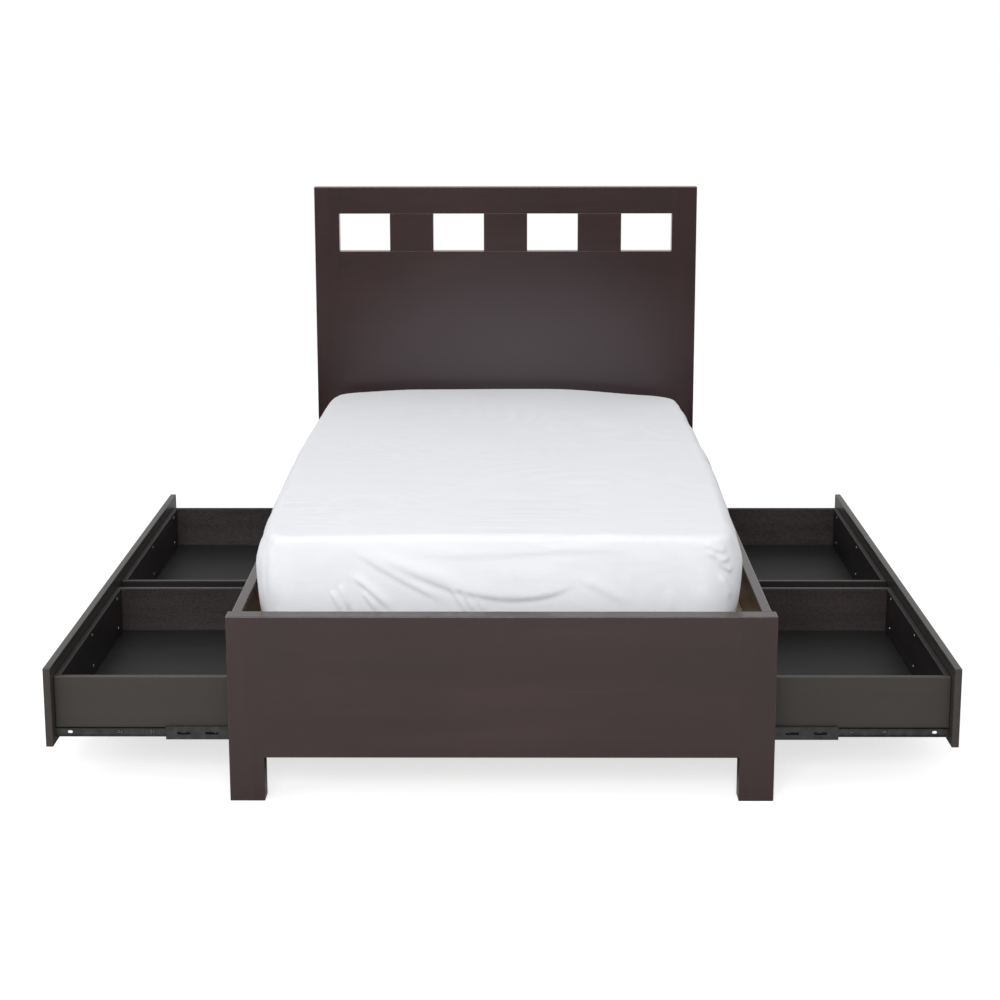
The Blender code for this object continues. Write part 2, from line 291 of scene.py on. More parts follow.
def ticking():
    """Knitted mattress ticking: quilted diamonds pressed into a pale damask, the grooves darkened
    as painted shade.
    """
    made = Finish("mattress_ticking", Sheen_Weight=0.2)
    wave = 2.0 * np.pi / 0.055
    point = made.node("ShaderNodeSeparateXYZ",
                      inputs={"Vector": made.place((wave, wave, wave), (0.0, 0.0, np.pi / 4))})
    x, y = (Value(made, point.socket.node.outputs[index]) for index in range(2))
    diamond = (x.maths("SINE").maths("ABSOLUTE") * y.maths("SINE").maths("ABSOLUTE")) ** 0.5
    knit = made.noise(made.place((900.0, 900.0, 900.0)), 1.0, 2.0)
    # Painted shade: the colour darkens along the pressed-in grooves, following the same diamond
    # pattern as the relief.
    made.drive(Base_Color=made.ramp(diamond * 0.8 + knit * 0.2, (0.0, (0.55, 0.55, 0.57)),
                                    (0.5, (0.74, 0.74, 0.75))),
               Roughness=knit * 0.1 + 0.82)
    made.relief(diamond + knit * 0.05, 0.004)
    return made.material


def backdrop_paper():
    """Seamless pale studio paper with the faintest mottle, lit up only for the eye."""
    made = Finish("backdrop_paper", Specular_IOR_Level=0.1, Emission_Strength=0.70)
    mottle = made.noise(made.place(), 1.5, 3.0)
    seen = made.node("ShaderNodeLightPath", output="Is Camera Ray")
    made.drive(Base_Color=made.ramp(mottle, (0.0, (0.53, 0.53, 0.53)), (1.0, (0.56, 0.56, 0.56))),
               Roughness=mottle * 0.1 + 0.8,
               Emission_Color=made.blend(seen, (0.0, 0.0, 0.0, 1.0), (1.0, 1.0, 1.0, 1.0)))
    return made.material


ESPRESSO_DARK = (0.0270, 0.0150, 0.0152)
ESPRESSO_LIGHT = (0.0400, 0.0205, 0.0208)
HEADBOARD_DARK = (0.0200, 0.0072, 0.0076)
HEADBOARD_LIGHT = (0.0320, 0.0116, 0.0120)
# Painted reflection of the sheet on the headboard: greyer and lighter low in the middle, fading
# out.
PAINTED_SHEET_REFLECTION = ((0.052, 0.0410, 0.0455), (0.04, 0.50), (0.64, 0.47))
LINING_DARK = (0.012, 0.0095, 0.0095)
LINING_LIGHT = (0.046, 0.0350, 0.0330)
SHELL_DARK = (0.0310, 0.0268, 0.0230)
SHELL_LIGHT = (0.0380, 0.0325, 0.0285)

ESPRESSO = {axis: stained_wood(f"espresso_grain_{axis}", axis, ESPRESSO_DARK, ESPRESSO_LIGHT, 0.45,
                              gloss=0.52) for axis in AXES}
HEADBOARD = {axis: stained_wood(f"headboard_grain_{axis}", axis, HEADBOARD_DARK, HEADBOARD_LIGHT,
                                0.45, painted_reflection=PAINTED_SHEET_REFLECTION) for axis in AXES}
LINING = {axis: stained_wood(f"drawer_lining_grain_{axis}", axis, LINING_DARK, LINING_LIGHT, 1.2,
                             0.42, 0.40, 0.12, speckle=1.1) for axis in AXES}
SUB_FRONT = stained_wood("sub_front_grain_Y", "Y", (0.006, 0.0055, 0.0056), (0.026, 0.0215, 0.0210),
                         1.0, 0.50, 0.30, 0.12, speckle=1.2)
SHELL = {axis: stained_wood(f"drawer_shell_grain_{axis}", axis, SHELL_DARK, SHELL_LIGHT, 0.3,
                            0.36, 0.46, 0.15) for axis in AXES}
# Near-black finish of the drawer floors, also used as painted shade on the wall faces in the gap
# between the boxes.
BOX_FLOOR_AND_GAP_SHADE = stained_wood("drawer_floor_and_gap_shade_grain_X", "X", (0.005, 0.0050, 0.0052),
                         (0.012, 0.0117, 0.0120), 1.2, 0.50, 0.30, 0.1, speckle=0.5)
PINE = {axis: bare_wood(f"pine_grain_{axis}", axis) for axis in AXES}
STEEL = slide_steel()
ZINC = bright_steel("zinc_screws", (0.62, 0.62, 0.60), 0.30)
BALLS = bright_steel("bearing_balls", (0.80, 0.80, 0.80), 0.16)
DARK_SCREW = bright_steel("dark_screws", (0.10, 0.10, 0.10), 0.38)
NYLON = black_nylon()
SHEET_COTTON = cotton("sheet_cotton", (0.785, 0.797, 0.828))
TICKING = ticking()


# ------------------------------------------------------------------ meshes

def add_piece(name, points, faces, material, smooth=True):
    """A named mesh at the origin from an array of points and a list of faces."""
    mesh = bpy.data.meshes.new(name)
    mesh.from_pydata(np.asarray(points, float).tolist(), [], [list(map(int, f)) for f in faces])
    mesh.validate()
    mesh.polygons.foreach_set("use_smooth", [smooth] * len(mesh.polygons))
    mesh.materials.append(material)
    item = bpy.data.objects.new(name, mesh)
    bpy.context.scene.collection.objects.link(item)
    return item


def band_faces(rings, count, closed=True):
    """Quads between successive rings of count points each."""
    ring = np.arange(rings - 1)[:, None] * count
    place = np.arange(count if closed else count - 1)[None, :]
    after = (place + 1) % count
    return np.stack([ring + place, ring + after, ring + count + after, ring + count + place],
                    axis=-1).reshape(-1, 4)


ROUND_STEPS = 3
SUPPORT = 0.0012           # support rows either side of a rounded edge
CORNER_LEAST = 0.15        # least share of its radius that a corner keeps on an inset ring
CORNERS = ((1, 1), (-1, 1), (-1, -1), (1, -1))
SNUG = 0.0001              # edge radius where two boards meet
SEAM = 0.000155            # how far a snug face reaches over the gap beside it


def rounded_ring(half_a, half_b, radii):
    """Points round a rectangle with quarter-round corners and a support point either side of each.

    Corner k's points are centre_k + radius_k * (cos t, sin t) for t over its own quarter turn.
    """
    quarter = np.linspace(0.0, np.pi / 2, ROUND_STEPS + 1)
    points = []
    for k, (sign_a, sign_b) in enumerate(CORNERS):
        radius = radii[k]
        centre = np.array([sign_a * (half_a - radius), sign_b * (half_b - radius)])
        angle = quarter + k * np.pi / 2
        arc = centre + radius * np.stack([np.cos(angle), np.sin(angle)], axis=1)
        forward = np.stack([-np.sin(angle), np.cos(angle)], axis=1)
        points += [arc[:1] - SUPPORT * forward[:1], arc, arc[-1:] + SUPPORT * forward[-1:]]
    return np.concatenate(points)


def end_steps(radius):
    """Depths and insets of the rings at one end of a board: a quarter round, then straight."""
    phi = np.linspace(0.0, np.pi / 2, ROUND_STEPS + 1)
    depth = np.concatenate([[0.0], radius * (1 - np.cos(phi)), [radius + SUPPORT]])
    inset = np.concatenate([[radius + SUPPORT], radius * (1 - np.sin(phi)), [0.0]])
    worn = np.concatenate([[0.0], np.sin(phi), [0.0]]) * (radius > SNUG)
    return depth, inset, worn


def board_points(low, high, axis, radius, snug):
    """Rings of a rounded board: a rounded rectangle carried along an axis.

    Near an end the ring is inset by radius*(1 - sin phi) at a depth of radius*(1 - cos phi), so the
    end edges are quarter rounds too.  Also gives each point's nearness to an edge, 0 to 1.
    """
    first = AXES.index(axis)
    second, third = (first + 1) % 3, (first + 2) % 3

    def radius_of(*faces):
        return min([SNUG if face in snug else radius for face in faces])

    def face(index, sign):
        return ("+" if sign > 0 else "-") + AXES[index]

    radii = np.array([radius_of(face(second, a), face(third, b)) for a, b in CORNERS])
    near = end_steps(radius_of(face(first, -1)))
    far = end_steps(radius_of(face(first, 1)))
    depth = np.concatenate([near[0], (high - low)[first] - far[0][::-1]])
    inset = np.concatenate([near[1], far[1][::-1]])
    worn_end = np.concatenate([near[2], far[2][::-1]])
    corner_row = np.concatenate([[0.0], np.ones(ROUND_STEPS + 1), [0.0]])
    worn_corner = np.concatenate([corner_row * (size > SNUG) for size in radii])
    rings, edge = [], []
    for place, step_in, worn in zip(depth, inset, worn_end):
        corners = np.maximum(radii - step_in, CORNER_LEAST * radii)
        ring = rounded_ring((high - low)[second] / 2 - step_in,
                            (high - low)[third] / 2 - step_in, corners)
        full = np.zeros((len(ring), 3))
        full[:, first] = low[first] + place
        full[:, second] = (low + high)[second] / 2 + ring[:, 0]
        full[:, third] = (low + high)[third] / 2 + ring[:, 1]
        rings.append(full)
        edge.append(np.maximum(worn_corner, worn))
    return np.concatenate(rings), np.concatenate(edge), len(rings)


def rounded_board(name, low, high, axis, radius, material, snug=()):
    """A rounded board as one closed mesh; snug faces keep crisp edges and reach SEAM further."""
    low, high = np.array(low, float), np.array(high, float)
    for face in snug:
        if face[0] == "-":
            low[AXES.index(face[1])] -= SEAM
        else:
            high[AXES.index(face[1])] += SEAM
    points, edge, rings = board_points(low, high, axis, radius, snug)
    count = len(points) // rings
    faces = [tuple(face) for face in band_faces(rings, count)]
    faces.append(tuple(range(count))[::-1])
    faces.append(tuple(range(len(points) - count, len(points))))
    item = add_piece(name, points, faces, material)
    attribute = item.data.attributes.new("edge", "FLOAT", "POINT")
    attribute.data.foreach_set("value", edge.astype(np.float32))
    return item


def other_skin(item, material, axis, sign):
    """Give the faces that look one way along an axis a second finish."""
    item.data.materials.append(material)
    normals = np.zeros(len(item.data.polygons) * 3)
    item.data.polygons.foreach_get("normal", normals)
    facing = normals.reshape(-1, 3)[:, AXES.index(axis)] * sign > 0.5
    item.data.polygons.foreach_set("material_index", facing.astype(np.int32))


def finish_board(node, axis, material, body, radius=0.0015, snug=()):
    """Stand a finely rounded board in for a CAD board of the same size."""
    low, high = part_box(node)
    item = rounded_board(f"{node}_board", low, high, axis, radius, material, snug)
    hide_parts(node)
    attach(item, body)
    return item


# ------------------------------------------------------------------ frame of the bed

def build_frame_boards():
    """Posts with upright grain, everything between them with level grain, and the long rails."""
    for side, inner in (("left", "+X"), ("right", "-X")):
        for end, wood in (("footboard", ESPRESSO), ("headboard", HEADBOARD)):
            finish_board(f"{end}_post_{side}", "Z", wood["Z"], "frame",
                         snug=(inner,))
        for node in (f"side_rail_{side}", f"side_filler_{side}"):
            finish_board(node, "Y", ESPRESSO["Y"], "frame", snug=("+Y", "-Y"))
    between = {"footboard_panel": ("+X", "-X"), "headboard_panel": ("+X", "-X", "+Z"),
               "headboard_top_rail": ("+X", "-X", "-Z")}
    for index in (1, 2, 3):
        between[f"headboard_divider_{index}"] = ("+X", "-X", "+Z", "-Z")
    for node, snug in between.items():
        wood = HEADBOARD if node.startswith("headboard") else ESPRESSO
        finish_board(node, "X", wood["X"], "frame", snug=snug)


def finish_hidden_boards():
    """The under-frame keeps its CAD shapes and takes bare or lined wood."""
    grain = {"ledger_left": "Y", "ledger_right": "Y", "ledger_head": "X", "centre_beam": "Y",
             "deck_foot": "X", "deck_head": "X", "centre_leg_foot": "Z", "centre_leg_head": "Z"}
    for node, axis in grain.items():
        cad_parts[node].data.materials.clear()
        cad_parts[node].data.materials.append(PINE[axis])
    for node in ("partition_foot", "partition_middle", "partition_head"):
        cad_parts[node].data.materials.clear()
        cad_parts[node].data.materials.append(SHELL["X"])


# ------------------------------------------------------------------ drawers

def build_drawer(side, sign):
    """The long front and the two open boxes behind it, lined inside and brown outside; the outer
    faces of the two walls facing each other across the middle gap are painted near-black as shade.
    """
    body = f"drawer_{side}"
    front = finish_board(f"drawer_{side}_front", "Y", SHELL["Y"], body)
    other_skin(front, ESPRESSO["Y"], "X", sign)
    for box in ("foot", "head"):
        prefix = f"drawer_{side}_{box}"
        for wall, facing in (("near_wall", -1), ("far_wall", 1)):
            item = finish_board(f"{prefix}_{wall}", "X", LINING["X"], body)
            # The foot box's far wall and the head box's near wall face each other across the middle
            # gap; their outer faces take the near-black floor finish as painted shade.
            seen = (box, wall) in (("foot", "near_wall"), ("head", "far_wall"))
            other_skin(item, SHELL["X"] if seen else BOX_FLOOR_AND_GAP_SHADE, "Y", facing)
        finish_board(f"{prefix}_sub_front", "Y", SUB_FRONT, body)
        back = finish_board(f"{prefix}_back", "Y", LINING["Y"], body)
        other_skin(back, SHELL["Y"], "X", -sign)
        finish_board(f"{prefix}_floor", "X", BOX_FLOOR_AND_GAP_SHADE, body, 0.0006)


# ------------------------------------------------------------------ fixings and slides

RECESS_REACH = 0.62        # share of a screw head's radius that its cross recess spans
RECESS_ARM = 0.8           # the cross lies where |cos 2t| is above this


def revolved(name, places, facing, profile, material, steps=16, recess=0.0):
    """Copies of one turned shape: (radius, height) points carried round the facing axis.

    Point (i, t) is place + radius_i (cos t u + sin t v) + height_i facing; the first and last
    profile points are poles.  A cross recess sinks the inner rings where |cos 2t| is high.
    """
    profile = np.array(profile, float)
    axis = np.array(facing, float)
    side = np.cross(axis, (0.31, 0.52, 0.79))
    side /= np.linalg.norm(side)
    basis = np.stack([side, np.cross(axis, side), axis])
    turn = np.linspace(0.0, 2.0 * np.pi, steps, endpoint=False)
    radius, height = profile[1:-1, 0], profile[1:-1, 1]
    level = np.repeat(height[:, None], steps, axis=1)
    cross = np.abs(np.cos(2 * turn)) > RECESS_ARM
    level -= recess * np.outer(radius < RECESS_REACH * radius.max(), cross)
    rings = np.stack([np.outer(radius, np.cos(turn)), np.outer(radius, np.sin(turn)), level],
                     axis=-1)
    poles = [(0.0, 0.0, profile[0, 1] - recess), (0.0, 0.0, profile[-1, 1])]
    local = np.concatenate([rings.reshape(-1, 3), poles]) @ basis
    places = np.atleast_2d(np.array(places, float))
    points = (places[:, None, :] + local[None, :, :]).reshape(-1, 3)
    place = np.arange(steps)
    after = (place + 1) % steps
    first, last = len(local) - 2, (len(radius) - 1) * steps
    top = np.stack([np.full(steps, first), place, after], axis=1)
    base = np.stack([last + after, last + place, np.full(steps, first + 1)], axis=1)
    walls = band_faces(len(radius), steps)[:, [0, 3, 2, 1]]
    faces = []
    for index in range(len(places)):
        shift = index * len(local)
        faces += (walls + shift).tolist() + (top + shift).tolist() + (base + shift).tolist()
    return add_piece(name, points, faces, material)


def pan_heads(name, places, facing, radius, material):
    """Low domed screw heads with a cross recess."""
    rim = radius * 0.30
    profile = [(0.0, rim * 1.5), (radius * 0.22, rim * 1.48), (radius * 0.55, rim * 1.38),
               (radius * 0.70, rim * 1.28), (radius * 0.90, rim * 1.02), (radius, rim * 0.55),
               (radius, 0.0), (0.0, 0.0)]
    return revolved(name, places, facing, profile, material, recess=rim * 0.8)


def ball_row(name, places, radius, material):
    """Steel balls: radius * (sin a, cos a) for a from 0 to pi, turned."""
    angle = np.linspace(0.0, np.pi, 8)
    profile = np.stack([radius * np.sin(angle), radius * np.cos(angle)], axis=1)
    profile[[0, -1], 0] = 0.0
    return revolved(name, places, (0.0, 0.0, 1.0), profile, material, steps=10)


def fasten(item, body):
    """Let a piece ride on a body."""
    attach(item, body)


SUB_FRONT_SHARES = (0.035, 0.48, 0.92)   # places of the screws along a sub-front
SUB_FRONT_LOW = 0.027      # lower row above the sub-front's bottom
SUB_FRONT_HIGH = 0.012     # upper row below its top
SUB_FRONT_SCREW = 0.0036   # radius of a head


def sub_front_screws(side, sign):
    """Two rows of three bright screws through each sub-front into the drawer front."""
    places = []
    for box in ("foot", "head"):
        low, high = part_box(f"drawer_{side}_{box}_sub_front")
        face = min(abs(low[0]), abs(high[0])) * sign
        for share in SUB_FRONT_SHARES:
            for level in (low[2] + SUB_FRONT_LOW, high[2] - SUB_FRONT_HIGH):
                places.append((face, low[1] + share * (high[1] - low[1]), level))
    item = pan_heads(f"drawer_{side}_front_screws", places, (-sign, 0.0, 0.0),
                     SUB_FRONT_SCREW, ZINC)
    fasten(item, f"drawer_{side}")


MEMBERS = {"cabinet_member": "frame", "middle_member": "slides", "drawer_member": "drawer"}
# Each slide at the middle partition is the twin of one at the far end of the same box pair.
INNER_SLIDES = {"foot_far": ("head", -0.847), "head_near": ("foot", 0.762)}
MIDDLE_OPEN = 0.194
DRAWER_OPEN = 0.388

# Rows of balls: first ball's distance from the bed's middle, lift, depth into the slide, radius.
OUTER_BALLS = (0.500, 0.0149, 0.0064, 0.0012)
INNER_BALLS = (0.490 + MIDDLE_OPEN - 0.012, 0.0104, 0.0083, 0.0016)
BALLS_IN_ROW = 6
BALL_PITCH = 0.010
MEMBER_TIP = 0.5215        # outer end of a drawer member when closed
FIRST_SCREW = 0.325        # in from that end
SCREWS_IN_MEMBER = 4
SCREW_PITCH = 0.0655
SCREW_DEPTH = 0.0113
SCREW_RADIUS = 0.0046
STOP_REACH = (0.1055, 0.1149)
STOP_DEPTH = 0.0095
STOP_HALF = 0.0125         # half the height of a nylon stop


def member_body(member, side):
    body = MEMBERS[member]
    return body if body == "frame" else f"{body}_{side}"


def copied_member(name, node, shift):
    """A merged copy of a CAD channel, moved along the bed."""
    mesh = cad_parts[node].data.copy()
    shell = bmesh.new()
    shell.from_mesh(mesh)
    bmesh.ops.remove_doubles(shell, verts=shell.verts, dist=0.00001)
    bmesh.ops.translate(shell, verts=shell.verts, vec=(0.0, shift, 0.0))
    shell.to_mesh(mesh)
    shell.free()
    mesh.materials.clear()
    mesh.materials.append(STEEL)
    item = bpy.data.objects.new(name, mesh)
    bpy.context.scene.collection.objects.link(item)
    return item


def slide_details(label, side, sign, box, shift):
    """Balls, the screws in the drawer member and the nylon stop of one slide."""
    cabinet_low, cabinet_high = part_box(f"slide_{side}_{box}_cabinet_member")
    out = 1.0 if box == "foot" else -1.0
    back = (cabinet_low[1] if out > 0 else cabinet_high[1]) + shift
    centre = (cabinet_low[2] + cabinet_high[2]) / 2
    rows = {"outer": ("frame", OUTER_BALLS), "inner": (f"slides_{side}", INNER_BALLS)}
    for row, (body, (start, rise, depth, radius)) in rows.items():
        places = [(sign * (start - BALL_PITCH * k), back + out * depth, centre + lift)
                  for lift in (rise, -rise) for k in range(BALLS_IN_ROW)]
        fasten(ball_row(f"slide_{label}_{row}_balls", places, radius, BALLS), body)
    first = MEMBER_TIP + DRAWER_OPEN - FIRST_SCREW
    holes = [(sign * (first + SCREW_PITCH * k), back + out * SCREW_DEPTH, centre)
             for k in range(SCREWS_IN_MEMBER)]
    item = pan_heads(f"slide_{label}_screws", holes, (0.0, -out, 0.0), SCREW_RADIUS, DARK_SCREW)
    fasten(item, f"drawer_{side}")
    stop_x = sorted(sign * reach for reach in STOP_REACH)
    stop_y = sorted((back, back + out * STOP_DEPTH))
    stop = rounded_board(f"slide_{label}_stop", (stop_x[0], stop_y[0], centre - STOP_HALF),
                         (stop_x[1], stop_y[1], centre + STOP_HALF), "X", 0.001, NYLON)
    fasten(stop, "frame")


def build_slides(side, sign):
    for box in ("foot", "head"):
        for member in MEMBERS:
            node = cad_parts[f"slide_{side}_{box}_{member}"]
            node.data.materials.clear()
            node.data.materials.append(STEEL)
        slide_details(f"{side}_{box}", side, sign, box, 0.0)
    for label, (box, shift) in INNER_SLIDES.items():
        for member in MEMBERS:
            twin = copied_member(f"slide_{side}_{label}_{member}",
                                 f"slide_{side}_{box}_{member}", shift)
            fasten(twin, member_body(member, side))
        slide_details(f"{side}_{label}", side, sign, box, shift)


# ------------------------------------------------------------------ mattress and fitted sheet

SHEET_MIDDLE = -0.0055     # the mattress lies a little to the left of the bed's middle
SHEET_HALF = 0.4910
SHEET_FOOT = -0.9740
SHEET_HEAD = 0.9300
PLAN_RADIUS = 0.085        # corners seen from above
EDGE_RADIUS = 0.014        # top edge
WIDEST = 0.450             # height where the sides belly out most
HEM_RADIUS = 0.026         # bottom edge
HEM_TUCK = 0.055           # width of sheet under the mattress
SHEET_BOTTOM = 0.2955      # underside of the mattress
CLOTH_THICKNESS = 0.0012
CORE_INSET = 0.0075        # how far the padded core lies inside the sheet
CORE_TUCK = 0.03
CORE_COUNTS = (36, 60, 14)         # steps across, along and down
SHEET_COUNTS = (240, 72, 46)
PIPING = (0.045, 0.185)    # the core's two piped seams, down from its top edge
CLOSE_RINGS = 0.76         # this share of the skirt's rings
CLOSE_REACH = 0.57         # lies in this share of its run, from the top down


def smooth_step(value, start, end):
    """3 t^2 - 2 t^3 for t going from 0 at start to 1 at end."""
    t = np.clip((value - start) / (end - start), 0.0, 1.0)
    return t * t * (3.0 - 2.0 * t)


def crowded_spacing(low, high, count, crowds):
    """Grid lines low..high, closer together near some places.

    The density is 1 + the sum of extra * exp(-((u - centre) / width)^2) over the crowds; the lines
    stand at equal steps of its running integral.
    """
    u = np.linspace(low, high, 2001)
    density = 1.0 + sum(extra * np.exp(-((u - centre) / width) ** 2)
                        for centre, width, extra in crowds)
    running = np.concatenate([[0.0], np.cumsum((density[1:] + density[:-1]) / 2.0)])
    return np.interp(np.linspace(0.0, running[-1], count + 1), running, u)


def round_corner_plan(x, y, half_x, y_low, y_high, shift):
    """Carry a square-cornered outline to a round-cornered one.

    A point splits into its nearest point on an inner rectangle, centre, and the rest, d.  Inside a
    corner d is scaled by max(|dx|, |dy|) / |d|, which turns the square corner into a quarter disc.
    Gives the centre, the outward direction and the distance out from the centre.
    """
    centre = np.stack([np.clip(x, -half_x + PLAN_RADIUS, half_x - PLAN_RADIUS) + shift,
                       np.clip(y, y_low + PLAN_RADIUS, y_high - PLAN_RADIUS)], axis=1)
    rest = np.stack([x + shift, y], axis=1) - centre
    reach = np.abs(rest).max(axis=1)
    length = np.maximum(np.linalg.norm(rest, axis=1), 1e-9)
    return centre, rest / length[:, None], reach


def skirt_profile(run, height):
    """Inset and drop at a run measured down the side from the top edge's nominal corner.

    A quarter round (its upper half belongs to the top), then straight down, a smaller quarter round
    at the bottom and a level tuck underneath; also the angle of the outward normal above level.
    """
    radius, lower = EDGE_RADIUS, HEM_RADIUS
    upper = np.clip(np.pi / 4 * (1 + run / radius), np.pi / 4, np.pi / 2)
    turn = np.clip((run - (height - lower)) / (2 * lower), 0.0, 1.0) * np.pi / 2
    under = np.maximum(run - height - lower, 0.0)
    inset = radius * (1 - np.sin(upper)) + lower * (1 - np.cos(turn)) + under
    straight = np.clip(run, radius, height - lower) - radius
    drop = radius * (1 - np.cos(upper)) + straight + lower * np.sin(turn)
    return inset, drop, np.pi / 2 - upper - turn


def top_grid(half, low, high, counts):
    """A square-cornered grid for the top, its point numbers in rows and its rim as one loop."""
    xs = crowded_spacing(-half, half, counts[0],
                         [(-0.18, 0.20, 1.0), (0.45, 0.05, 0.7), (-half, 0.04, 0.7)])
    ys = crowded_spacing(low, high, counts[1], [(low, 0.05, 4.0), (high, 0.05, 4.0)])
    grid_x, grid_y = np.meshgrid(xs, ys)
    number = np.arange(grid_x.size).reshape(grid_x.shape)
    loop = np.concatenate([number[0, :-1], number[:-1, -1], number[-1, :0:-1], number[:0:-1, 0]])
    return grid_x.ravel(), grid_y.ravel(), number, loop


def rounded_top(centre, outward, reach, offset):
    """Points of the top, whose rim turns down through an eighth of a turn of EDGE_RADIUS.

    Also gives their inset from the outline and the angle of the outward normal above level.
    """
    from_edge = PLAN_RADIUS - reach
    rise = np.clip(1.0 - from_edge / EDGE_RADIUS, 0.0, 1.0) * np.pi / 4
    inset = np.where(from_edge < EDGE_RADIUS, EDGE_RADIUS * (1 - np.sin(rise)), from_edge)
    flat = centre + outward * (PLAN_RADIUS - inset)[:, None]
    level = sheet_top(flat[:, 0], flat[:, 1]) - offset - EDGE_RADIUS * (1 - np.cos(rise))
    return np.column_stack([flat, level]), inset, np.pi / 2 - rise


def ring_runs(length, rings):
    """How far down the side each ring's points lie, the rings closer together higher up."""
    close = int(CLOSE_RINGS * rings)
    shares = np.concatenate([np.linspace(0.0, CLOSE_REACH, close + 1)[1:],
                             np.linspace(CLOSE_REACH, 1.0, rings - close + 1)[1:]])
    return np.outer(shares, length).ravel()


def hanging_skirt(centre, outward, run, height, offset):
    """Points of the skirt: centre + outward * (PLAN_RADIUS - inset), a drop below the top's rim.

    Also gives the angle of the outward normal above level.
    """
    inset, drop, lean = skirt_profile(run, height)
    flat = centre + outward * (PLAN_RADIUS - inset)[:, None]
    rim = centre + outward * PLAN_RADIUS
    level = sheet_top(rim[:, 0], rim[:, 1]) - offset - drop
    return np.column_stack([flat, level]), lean


def soft_box(counts, offset, skirt_end):
    """A mattress-shaped open shell: a top grid and a skirt of rings hanging from its boundary.

    Gives points, unit normals, outward directions, skirt runs (-1 on the top), nearness to the
    skirt and the faces.
    """
    half = SHEET_HALF - offset
    low, high = SHEET_FOOT + offset, SHEET_HEAD - offset
    x, y, number, loop = top_grid(half, low, high, counts)
    centre, outward, reach = round_corner_plan(x, y, half, low, high, SHEET_MIDDLE)
    top, inset, tilt = rounded_top(centre, outward, reach, offset)
    height = sheet_top(centre[:, 0], y) - offset - SHEET_BOTTOM - offset
    ring_run = ring_runs(height[loop] + skirt_end, counts[2])
    tiled = np.tile(loop, counts[2])
    skirt, lean = hanging_skirt(centre[tiled], outward[tiled], ring_run, height[tiled], offset)
    out = np.concatenate([outward, outward[tiled]])
    angle = np.concatenate([tilt, lean])
    normal = np.column_stack([out * np.cos(angle)[:, None], np.sin(angle)])
    run = np.concatenate([np.full(len(top), -1.0), ring_run])
    share = np.concatenate([np.clip(1.0 - inset / PLAN_RADIUS, 0.0, 1.0), np.ones(len(skirt))])
    quads = np.stack([number[:-1, :-1], number[:-1, 1:], number[1:, 1:], number[1:, :-1]], axis=-1)
    ring_number = np.concatenate([loop, len(top) + np.arange(len(skirt))])
    skirt_faces = ring_number[band_faces(counts[2] + 1, len(loop))][:, ::-1]
    faces = np.concatenate([quads.reshape(-1, 4), skirt_faces])
    return np.concatenate([top, skirt]), normal, out, run, share, faces


def sheet_top(x, y):
    """Height of the sheet: a long slope down to the head, crowned across, sagging in the middle.

    Both head corners droop, the right one more.
    """
    along_bed = (y - SHEET_FOOT) / (SHEET_HEAD - SHEET_FOOT)
    crown = 0.003 * (1.0 - (x / SHEET_HALF) ** 2)
    head = smooth_step(y, 0.62, SHEET_HEAD)
    droop = head * (0.020 * smooth_step(x, 0.12, 0.50) + 0.010 * smooth_step(-x, 0.25, 0.50))
    return 0.5265 - 0.0225 * along_bed + crown - 0.002 * np.sin(np.pi * along_bed) - droop


def stroke(flat, knots, width, height, edge=0.0, taper=0.25):
    """A fold drawn along a smooth line through knots on a flat pair of coordinates.

    With d the signed distance above the line: a soft fold is exp(-(d / width)^2); a fold with an
    edge swells gently above the line and breaks off at it, as
    exp(-(max(d, 0) / width)^2) / (1 + exp(-d / edge)) less a hollow of
    0.2 exp(-((d + 3 edge) / 2 edge)^2).
    It fades over a share, taper, of the line at each end.
    """
    knots = np.array(knots, float)
    t = np.linspace(0.0, 1.0, len(knots))
    fine = np.linspace(0.0, 1.0, 60)
    degree = min(3, len(knots) - 1)
    line = np.stack([np.polyval(np.polyfit(t, knots[:, k], degree), fine) for k in (0, 1)], axis=1)
    tangent = np.gradient(line, axis=0)
    tangent /= np.linalg.norm(tangent, axis=1)[:, None]
    near = np.abs(flat - line.mean(axis=0)).max(axis=1) < 0.5 * np.ptp(line, axis=0).max() + 0.12
    chosen = flat[near]
    gap = chosen[:, None, :] - line[None, :, :]
    closest = np.linalg.norm(gap, axis=2).argmin(axis=1)
    offset = gap[np.arange(len(chosen)), closest]
    side = tangent[closest]
    across = side[:, 0] * offset[:, 1] - side[:, 1] * offset[:, 0]
    across *= np.where(side[:, 0] < 0.0, -1.0, 1.0)
    past = side[:, 0] * offset[:, 0] + side[:, 1] * offset[:, 1]
    place = fine[closest]
    fade = smooth_step(place, -0.02, taper) * smooth_step(1.0 - place, -0.02, taper)
    fade *= np.exp(-(past / width) ** 2)
    if edge:
        shape = np.exp(-(np.maximum(across, 0.0) / width) ** 2)
        shape /= 1.0 + np.exp(-np.clip(across / edge, -30.0, 30.0))
        shape -= 0.2 * np.exp(-((across + 3.0 * edge) / (2.0 * edge)) ** 2)
    else:
        shape = np.exp(-(across / width) ** 2)
    result = np.zeros(len(flat))
    result[near] = height * fade * shape
    return result


